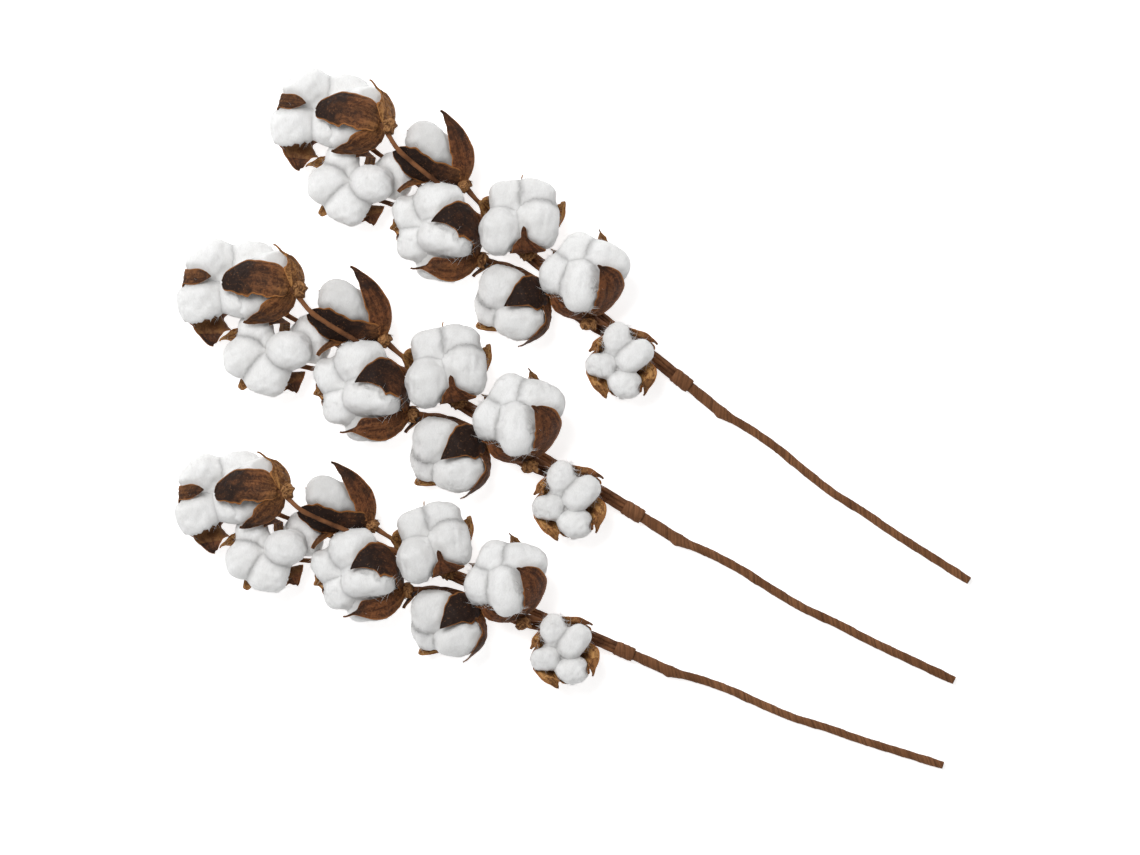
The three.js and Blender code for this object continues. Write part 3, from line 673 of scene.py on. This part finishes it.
def bracts(boll, number):
    """Ragged little leaves round the calyx: thin, crinkled, bent back towards the stalk."""
    rng = np.random.default_rng(500 + number)
    down = unit(np.array(boll["calyx"], float))
    side = unit(np.cross(down, [0.3, 0.5, 0.8]))
    other = np.cross(down, side)
    t = np.linspace(0, 1, BRACT_ROWS)
    angle = np.linspace(0, 2 * np.pi, BRACT_COLS, endpoint=False)
    turns = np.linspace(0, 2 * np.pi, BRACTS, endpoint=False) + rng.uniform(-0.3, 0.3, BRACTS)
    leaves = []
    for turn in turns:
        out = side * np.cos(turn) + other * np.sin(turn)
        wide = np.cross(down, out)
        long, bend = rng.uniform(*BRACT_LENGTHS), rng.uniform(*BRACT_BENDS)
        reach = CALYX_RADIUS * 0.78 + long * 0.5 * np.sin(t * 1.6)
        drop = 1.0 + long * bend * t**2
        spine = out * reach[:, None] + down * drop[:, None]
        half = rng.uniform(*BRACT_HALVES) * np.sin(np.pi * np.clip(0.2 + 0.78 * t, 0, 1)) ** 0.7
        crinkle = 0.5 * np.sin(t * 9 + rng.uniform(0, 6))
        edge = BRACT_THICK * np.sin(angle) + crinkle[:, None] * np.cos(angle) ** 2
        leaves.append(spine[:, None] + wide * (half[:, None] * np.cos(angle))[..., None]
                      + down * edge[..., None])
    points = np.array(leaves) + calyx_place(boll)
    return surface(points, finish=2)


def bur_finish():
    """Dry husk: mottled red-brown, blacker towards its tip, with an orange rim and a tan inside."""
    husk = Finish("dry_husk")
    here = husk.node("ShaderNodeTexCoord").outputs["Object"]
    wrap = husk.node("ShaderNodeUVMap", uv_map="wrap").outputs["UV"]
    way = husk.node("ShaderNodeSeparateXYZ", {"Vector": wrap})
    around, along = way.outputs["X"], way.outputs["Y"]
    attribute = husk.node("ShaderNodeAttribute", attribute_name="look")
    parts = husk.node("ShaderNodeSeparateXYZ", {"Vector": attribute.outputs["Color"]})
    rim, inside, dark = (parts.outputs[k] for k in "XYZ")
    tan = attribute.outputs["Alpha"]
    cloud = husk.noise(here, 110, 4, 0.6, 0.5)
    speck = husk.noise(here, 700, 4, 0.7)
    wrinkle = husk.noise(here, 300, 5, 0.6, 2.0)
    lanes = {"X": husk.maths("MULTIPLY", around, 26), "Y": husk.maths("MULTIPLY", along, 2.2), "Z": cloud}
    streak = husk.noise(husk.node("ShaderNodeCombineXYZ", lanes).outputs[0], 1.0, 4, 0.6)
    grain = husk.maths("ADD", husk.maths("MULTIPLY", wrinkle, 0.5), husk.maths("MULTIPLY", streak, 0.5))
    brown = husk.blend(husk.span(grain, 0.38, 0.62), (0.056, 0.020, 0.009, 1), (0.230, 0.084, 0.032, 1))
    golden = husk.blend(husk.span(grain, 0.40, 0.58), (0.120, 0.048, 0.016, 1), (0.440, 0.215, 0.070, 1))
    warm = husk.span(along, 0.0, 0.3, 0.35, 0.0)
    mellow = husk.maths("ADD", husk.maths("ADD", tan, warm), husk.span(cloud, 0.55, 0.8, 0, 0.22), True)
    colour = husk.blend(mellow, brown, golden)
    shade = husk.maths("ADD", dark, husk.maths("MULTIPLY", husk.maths("SUBTRACT", cloud, 0.5), 1.3))
    shade = husk.maths("ADD", shade, husk.span(along, 0.2, 0.9, -0.2, 0.35))
    colour = husk.blend(husk.span(shade, 0.15, 0.95), colour, (0.021, 0.011, 0.008, 1))
    colour = husk.blend(husk.span(speck, 0.56, 0.72, 0, 0.45), colour, (0.33, 0.150, 0.065, 1))
    lining = husk.blend(husk.span(grain, 0.40, 0.58), (0.150, 0.060, 0.020, 1), (0.520, 0.270, 0.095, 1))
    lining = husk.blend(husk.span(tan, 0.0, 0.6, 0.75, 0.0), lining, (0.105, 0.042, 0.018, 1))
    colour = husk.blend(husk.span(inside, 0.62, 0.80), colour, lining)
    colour = husk.blend(husk.span(rim, 0.88, 0.99, 0, 0.75), colour, (0.47, 0.190, 0.055, 1))
    husk.link(colour, husk.shader.inputs["Base Color"])
    height = husk.maths("ADD", grain, husk.maths("MULTIPLY", speck, 0.4))
    husk.link(husk.bump(height, 0.7, 0.6 * MM), husk.shader.inputs["Normal"])
    husk.shader.inputs["Roughness"].default_value = 0.65
    husk.shader.inputs["Specular IOR Level"].default_value = 0.14
    return husk.material


def twig_finish():
    """Brown stalk: fine lengthwise grain and small dark flecks."""
    twig = Finish("dry_stalk")
    here = twig.node("ShaderNodeTexCoord").outputs["Object"]
    fleck = twig.noise(here, 520, 5, 0.7)
    cloud = twig.noise(here, 90, 3, 0.5)
    colour = twig.blend(twig.span(cloud, 0.3, 0.7), (0.085, 0.033, 0.014, 1), (0.270, 0.115, 0.048, 1))
    colour = twig.blend(twig.span(fleck, 0.5, 0.75, 0, 0.5), colour, (0.26, 0.13, 0.07, 1))
    twig.link(colour, twig.shader.inputs["Base Color"])
    twig.link(twig.bump(fleck, 0.5, 0.3 * MM), twig.shader.inputs["Normal"])
    twig.shader.inputs["Roughness"].default_value = 0.75
    twig.shader.inputs["Specular IOR Level"].default_value = 0.14
    return twig.material


def crown_finish():
    """Crumpled tan and brown scraps of the calyx."""
    crown = Finish("dry_calyx")
    here = crown.node("ShaderNodeTexCoord").outputs["Object"]
    crumple = crown.noise(here, 380, 5, 0.65, 1.2)
    colour = crown.blend(crown.span(crumple, 0.35, 0.65),
                         (0.085, 0.034, 0.013, 1), (0.43, 0.215, 0.085, 1))
    crown.link(colour, crown.shader.inputs["Base Color"])
    crown.link(crown.bump(crumple, 0.7, 0.6 * MM), crown.shader.inputs["Normal"])
    crown.shader.inputs["Roughness"].default_value = 0.75
    crown.shader.inputs["Specular IOR Level"].default_value = 0.14
    return crown.material


husk_skin, stalk_skin, calyx_skin = bur_finish(), twig_finish(), crown_finish()
carpels_of = []  # each boll's carpels, for its cotton to be pressed against
for number, boll in enumerate(BOLLS):
    made = [carpel(boll, number, index) for index in range(len(boll["carpels"]))]
    carpels_of.append(np.array([points for points, look in made]))
    husk = surface(carpels_of[-1], np.array([look for points, look in made]))
    parts = [husk, stalk(boll, number), calyx_knob(boll, number), bracts(boll, number)]
    for spray in SPRAYS:
        bur = make(f"{spray}_boll_{number + 1}_bur", spray, parts, [husk_skin, stalk_skin, calyx_skin])
        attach(bur, "root")
        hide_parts(f"{spray}_bur_and_stalk_{number + 1}")

# ---- the cotton -------------------------------------------------------------------------------
# Each boll holds three to five locks of seed cotton, soft pillows that swell out between the
# carpels and are pressed flat under them. Loose fibres stand off them.

LOCK_ROWS, LOCK_COLS = 36, 50
CORE_ROWS, CORE_COLS = 14, 18
LOCK_SQUARE = 2.5  # 2 is an ellipse, and more is fuller at its corners
LOCK_MELT = 8.0  # how much nearer one lock may be than another and still melt into it
LOCK_LUMPS = ((0.50, 18.0), (0.15, 6.5), (0.09, 3.2))  # their height and how far apart they are
LOCK_SHADE = 5.5  # how near another lock, or twice how near a carpel, the cotton starts to get painted shade
CORE = (0, 0, -8, 9, 9, 10, 0)  # the cotton in the middle, deep between the locks
LOCK_ROOT = 0.8  # how much of the way to the calyx a lock is drawn out
LOCK_POINT = 4  # the more, the narrower is its drawn-out point
# Painted shade: how dark the cotton is painted in a crease, and how much of that it gets against a
# carpel.
CREASE_PAINTED_SHADE, PRESSED_PAINTED_SHADE = 0.8, 0.6
PRESS_GAP = 0.25
PRESS_LEAN = 0.073  # the angle at the heart within which a carpel's point covers the cotton
# How many fibres a lock has, how near a carpel they start (least and most), their thickness and
# their greatest length: all over it, beside the carpels, and where they have come loose.
FIBRES = (50, 0.0, 0.5, 0.09, 6.0)
EDGE_FIBRES = (20, 0.3, 0.9, 0.12, 8.0)
LOOSE_FIBRES = (130, 0.4, 0.9, 0.17, 9.0)


def lock_far(directions, shape):
    """How far a lock's superellipsoid reaches from its own middle in each direction."""
    length, breadth, height, turn = shape[3:]
    c, s = np.cos(np.radians(turn)), np.sin(np.radians(turn))
    axes = np.array([[c, s, 0], [-s, c, 0], [0, 0, 1]])
    local = np.abs(directions @ axes.T) / np.array([length, breadth, height])
    return (local**LOCK_SQUARE).sum(-1) ** (-1 / LOCK_SQUARE)


def melted(points, shapes, melt):
    """How far points lie outside the locks, with smooth valleys between them.

    It is the least of the locks' own distances, less (melt - difference)^2 / 4 melt where they are
    nearly the same."""
    result = np.full(points.shape[:-1], 1e3)
    for shape in shapes:
        offset = points - np.array(shape[:3], float)
        apart = np.linalg.norm(offset, axis=-1) - lock_far(unit(offset), shape)
        mixed = np.maximum(melt - np.abs(result - apart), 0)
        result = np.minimum(result, apart) - mixed**2 / (4 * melt)
    return result


def lock(boll, shapes, index, seed):
    """A pillow: an ellipsoid with full corners, drawn out to a point towards the calyx, and softly lumpy.

    Near another lock it is pushed out to the surface that the two have in common, so that the crease
    between them is soft. The second result is how much painted shade the crease gets, from 0 to 1."""
    centre = np.array(shapes[index][:3], float)
    root = np.array(boll["calyx"], float) * LOCK_ROOT - centre
    down = unit(root)
    side = unit(np.cross(down, [0.2, 0.9, 0.4]))
    other = np.cross(down, side)
    rows, cols = (CORE_ROWS, CORE_COLS) if shapes[index] is CORE else (LOCK_ROWS, LOCK_COLS)
    lean = np.linspace(0.03, np.pi - 0.03, rows)[:, None]
    around = np.linspace(0, 2 * np.pi, cols, endpoint=False)
    ball = (-down * np.cos(lean)[..., None] + side * (np.sin(lean) * np.cos(around))[..., None]
            + other * (np.sin(lean) * np.sin(around))[..., None])
    draw = np.maximum(0, ball @ down) ** LOCK_POINT
    far = lock_far(ball, shapes[index])
    points = centre + ball * (far * (1 - draw))[..., None] + root * draw[..., None]
    melt = boll.get("melt", LOCK_MELT)
    pushed = np.zeros(draw.shape)
    for _ in range(6):
        depth = melted(points + ball * pushed[..., None], shapes, melt)
        pushed = np.clip(pushed - 0.8 * depth, 0, melt / 2.5)
    pushed = pushed * (1 - draw)
    others = [shape for k, shape in enumerate(shapes) if k != index]
    # Painted shade in the crease: the nearer another lock is, the darker the cotton is painted.
    painted_shade = np.clip(1 - melted(points, others, 0.1) / LOCK_SHADE, 0, 1) ** 1.6
    points = points + ball * pushed[..., None]
    for size, wavelength in LOCK_LUMPS:
        points = points + ball * (size * ripple(points, wavelength, seed + int(wavelength)))[..., None]
    return points, painted_shade


def pressed(points, shells):
    """Points about the heart, kept inside the carpels, and how near a carpel each is, from 0 to 1."""
    far = np.linalg.norm(points, axis=-1)
    facing = unit(points).reshape(-1, 3)
    between = (shells + np.roll(shells, 1, axis=2)) / 2
    inner = np.concatenate([shells, between]).reshape(-1, 3)
    inner_far = np.linalg.norm(inner, axis=-1)
    match = facing @ unit(inner).T
    lean = np.arccos(np.clip(match.max(1), -1, 1)).reshape(far.shape)
    limit = np.where(match > np.cos(PRESS_LEAN), inner_far, 1e3).min(1).reshape(far.shape) - PRESS_GAP
    near = np.clip(1 - (lean - PRESS_LEAN) * far / LOCK_SHADE * 2, 0, 1)
    return points * (np.minimum(far, limit) / np.maximum(far, 1e-6))[..., None], near


def fibres(rings, near, seed, many, least, most, thick, longest):
    """Hair-thin three-sided bars that lie along the cotton's skin and lift off at their ends.

    They start where the nearness to a carpel is between least and most."""
    rng = np.random.default_rng(seed)
    spots = np.argwhere((near[2:-8] >= least) & (near[2:-8] <= most))
    if len(spots) == 0:
        return np.zeros((0, 4, 3, 3))
    row, col = spots[rng.integers(0, len(spots), many)].T
    start = rings[row + 2, col]
    out = unit(start - rings.mean((0, 1)))
    lie = unit(np.cross(out, rng.normal(size=(many, 3))))
    bend = unit(np.cross(out, lie))
    t = np.linspace(0, 1, 4)[None, :, None]
    long = rng.uniform(0.35, 1, (many, 1, 1)) * longest
    path = (start[:, None] + lie[:, None] * long * t + out[:, None] * (long * 0.3 * t**1.5 - 0.2)
            + bend[:, None] * long * rng.uniform(-0.5, 0.5, (many, 1, 1)) * t**2)
    radius = thick * (1.05 - t)
    angle = np.linspace(0, 2 * np.pi, 3, endpoint=False)
    return (path[:, :, None] + out[:, None, None] * (radius * np.cos(angle))[..., None]
            + bend[:, None, None] * (radius * np.sin(angle))[..., None])


def cotton_finish():
    """White cotton: light goes a little way in, the fine fibres swirl, and its creases get painted shade.
    """
    tuft = Finish("white_cotton")
    here = tuft.node("ShaderNodeTexCoord").outputs["Object"]
    drawn = tuft.node("ShaderNodeMapping", {"Vector": here, "Scale": (1.0, 0.45, 0.6)}).outputs["Vector"]
    swirl = tuft.noise(drawn, 420, 7, 0.72, 3.0)
    cloud = tuft.noise(here, 90, 3, 0.5)
    look = tuft.node("ShaderNodeSeparateXYZ", {"Vector": tuft.node(
        "ShaderNodeAttribute", attribute_name="look").outputs["Color"]})
    colour = tuft.blend(tuft.span(cloud, 0.35, 0.75), (0.90, 0.90, 0.895, 1), (0.85, 0.848, 0.838, 1))
    colour = tuft.blend(tuft.span(swirl, 0.35, 0.6, 0.22, 0), colour, (0.55, 0.545, 0.535, 1))
    # Painted shade: the look's first value darkens the cotton in creases, against carpels and on shaded
    # bolls.
    colour = tuft.blend(look.outputs["X"], colour, (0.46, 0.452, 0.440, 1))
    tuft.link(colour, tuft.shader.inputs["Base Color"])
    tuft.link(tuft.bump(swirl, 0.55, 0.7 * MM), tuft.shader.inputs["Normal"])
    tuft.shader.inputs["Roughness"].default_value = 0.95
    tuft.shader.inputs["Specular IOR Level"].default_value = 0.1
    tuft.shader.inputs["Subsurface Weight"].default_value = 0.35
    tuft.shader.inputs["Subsurface Radius"].default_value = (1, 1, 1)
    tuft.shader.inputs["Subsurface Scale"].default_value = 2.0 * MM
    tuft.shader.inputs["Sheen Weight"].default_value = 0.25
    tuft.shader.inputs["Sheen Roughness"].default_value = 0.6
    return tuft.material


cotton_skin = cotton_finish()
for number, boll in enumerate(BOLLS):
    heart = np.array(boll["heart"], float)
    shells = carpels_of[number] - heart
    shapes = [*boll["locks"], CORE]
    parts, hairs = [], []
    for k in range(len(shapes)):
        points, crease = lock(boll, shapes, k, 1000 + 100 * number)
        points, near = pressed(points, shells)
        # Painted shade: darker in the creases between locks, where the cotton lies against a carpel, and
        # all over a shaded boll.
        painted_shade = CREASE_PAINTED_SHADE * np.maximum(crease, PRESSED_PAINTED_SHADE * near) + boll.get("painted_shade", 0)
        parts.append(surface(points + heart, np.clip(painted_shade, 0, 1)[..., None]))
        if shapes[k] is not CORE:
            seed = 2000 + 10 * number + k
            hairs.append(fibres(points + heart, near, seed, *FIBRES))
            hairs.append(fibres(points + heart, near, seed + 500, *EDGE_FIBRES))
            if k in boll.get("loose", ()):
                hairs.append(fibres(points + heart, near, seed + 700, *LOOSE_FIBRES))
    parts.append(surface(np.concatenate(hairs)))
    for spray in SPRAYS:
        tuft = make(f"{spray}_boll_{number + 1}_cotton", spray, parts, [cotton_skin])
        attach(tuft, "root")
        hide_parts(f"{spray}_cotton_{number + 1}")
